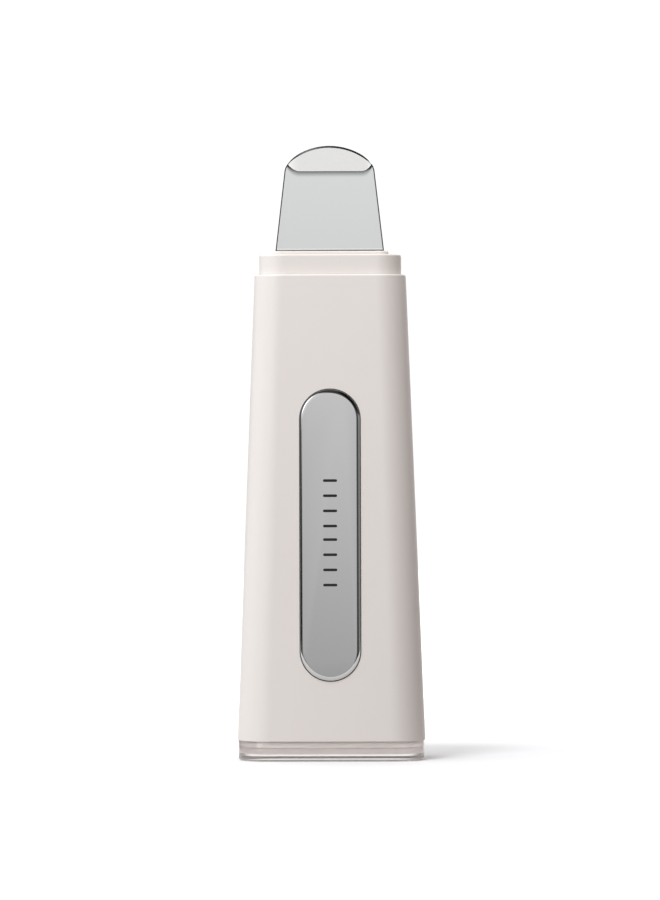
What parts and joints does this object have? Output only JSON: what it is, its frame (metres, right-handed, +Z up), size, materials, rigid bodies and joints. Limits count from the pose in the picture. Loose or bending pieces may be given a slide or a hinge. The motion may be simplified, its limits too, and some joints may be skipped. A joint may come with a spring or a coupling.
{
  "type": "ultrasonic skin scrubber",
  "caption": "Upright tapered handset with a bent steel blade on a stepped collar, a pill-shaped metal contact plate, a back push button and a clear foot.",
  "frame": {"origin": "middle of the underside of the clear base, where the handset stands", "axes": "+Z up to the blade's tip, -Y out of the front with the contact plate, +Y out of the back with the button and the charging socket, +X to the right as seen from the front"},
  "size_m": [0.0502, 0.0323, 0.165],
  "materials": {
    "shell_plastic": "fine satin moulded ABS, warm off-white",
    "clear_acrylic": "polished clear acrylic",
    "cover_plastic": "plain off-white moulded plastic",
    "silicone": "soft matt silicone, off-white",
    "polished_steel": "polished stainless steel with fine hairlines",
    "plate_metal": "mirror-plated contact plate",
    "trim_metal": "plated trim ring",
    "screw_steel": "zinc-plated steel",
    "horn_alloy": "turned aluminium with fine tool marks",
    "mass_steel": "turned steel",
    "piezo": "sintered grey-brown ceramic",
    "electrode": "thin rolled brass",
    "isolator": "black silicone rubber",
    "chassis_plastic": "grey glass-filled nylon",
    "board": "green solder mask",
    "chip": "black moulded epoxy",
    "ferrite": "dark grey ferrite",
    "copper": "enamelled copper wire",
    "can": "drawn aluminium can",
    "lamp": "milky lamp resin",
    "guide": "frosted clear resin",
    "socket_metal": "drawn stainless steel",
    "tongue_plastic": "black liquid-crystal polymer",
    "cell_wrap": "blue heat-shrink sleeve",
    "strap": "white nylon strap",
    "wire": "insulated wire",
    "gasket": "thin black gasket"
  },
  "bodies": {
    "handset": {"clear_base": "clear_acrylic", "bottom_cover": "cover_plastic", "base_seal": "gasket", "body_shell": "shell_plastic", "cap_collar": "shell_plastic", "blade_grommet": "silicone", "blade": "polished_steel", "blade_screws": "screw_steel", "transducer_horn": "horn_alloy", "piezo_ring_lower": "piezo", "piezo_ring_upper": "piezo", "back_mass": "mass_steel", "electrode_shim_ground": "electrode", "electrode_shim_hot": "electrode", "transducer_bolt": "screw_steel", "isolator_lower": "isolator", "isolator_upper": "isolator", "transducer_clamp_lower": "chassis_plastic", "transducer_clamp_upper": "chassis_plastic", "clamp_screws": "screw_steel", "chassis": "chassis_plastic", "cover_screws": "screw_steel", "collar_screws": "screw_steel", "contact_plate": "plate_metal", "plate_gasket": "gasket", "plate_nuts": "screw_steel", "button_trim": "trim_metal", "tact_switch": "chip", "light_guide": "guide", "status_leds": "lamp", "charge_socket_shell": "socket_metal", "charge_socket_tongue": "tongue_plastic", "main_board": "board", "board_screws": "screw_steel", "microcontroller": "chip", "transformer_core": "ferrite", "transformer_coil": "copper", "filter_capacitors": "can", "drive_mosfets": "chip", "battery_cell": "cell_wrap", "battery_straps": "strap", "battery_leads": "wire", "transducer_leads": "wire", "plate_terminal": "electrode", "plate_lead": "wire"},
    "push_button": {"power_button": "shell_plastic", "button_seal": "gasket", "switch_plunger": "chip"}
  },
  "joints": [
    {"name": "button_press", "type": "slide", "parent": "handset", "child": "push_button", "axis": [0, -1, 0], "range_m": [0, 0.0006], "stiffness_N_per_m": 2500, "springref_m": -0.0002}
  ]
}
